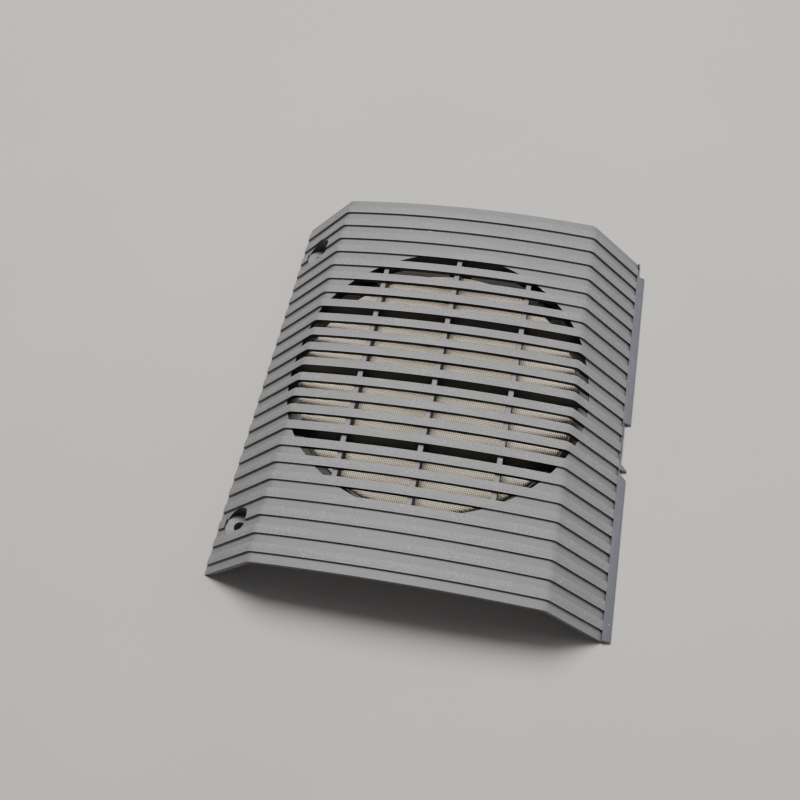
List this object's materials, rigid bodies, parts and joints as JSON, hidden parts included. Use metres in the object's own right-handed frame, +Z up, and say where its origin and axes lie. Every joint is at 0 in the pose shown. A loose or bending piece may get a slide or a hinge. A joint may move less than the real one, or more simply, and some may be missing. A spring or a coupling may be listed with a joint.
{
  "type": "loudspeaker grille cover",
  "caption": "Folded moulded loudspeaker cover with raised bars, a round slotted opening and a cloth panel held behind it on a ring.",
  "frame": {"origin": "centre of the bounding box in plan, on the plane that the two side edges rest on", "axes": "+X along the bars, from the screw side to the tongue side; +Y across the bars, along the cover's length; +Z up, out of the slotted face"},
  "size_m": [0.1668, 0.188, 0.0302],
  "materials": {
    "grey_plastic": "moulded mid-grey plastic with a fine grain",
    "taupe_cloth": "open plain-weave acoustic cloth",
    "black_plastic": "plain black moulding",
    "spring_steel": "thin rolled spring steel"
  },
  "bodies": {
    "root": {"grille_cover": "grey_plastic", "cloth_panel": "taupe_cloth", "cloth_ring": "black_plastic", "retaining_clip_1": "spring_steel", "retaining_clip_2": "spring_steel", "retaining_clip_3": "spring_steel", "retaining_clip_4": "spring_steel", "retaining_clip_5": "spring_steel", "retaining_clip_6": "spring_steel"}
  },
  "joints": []
}
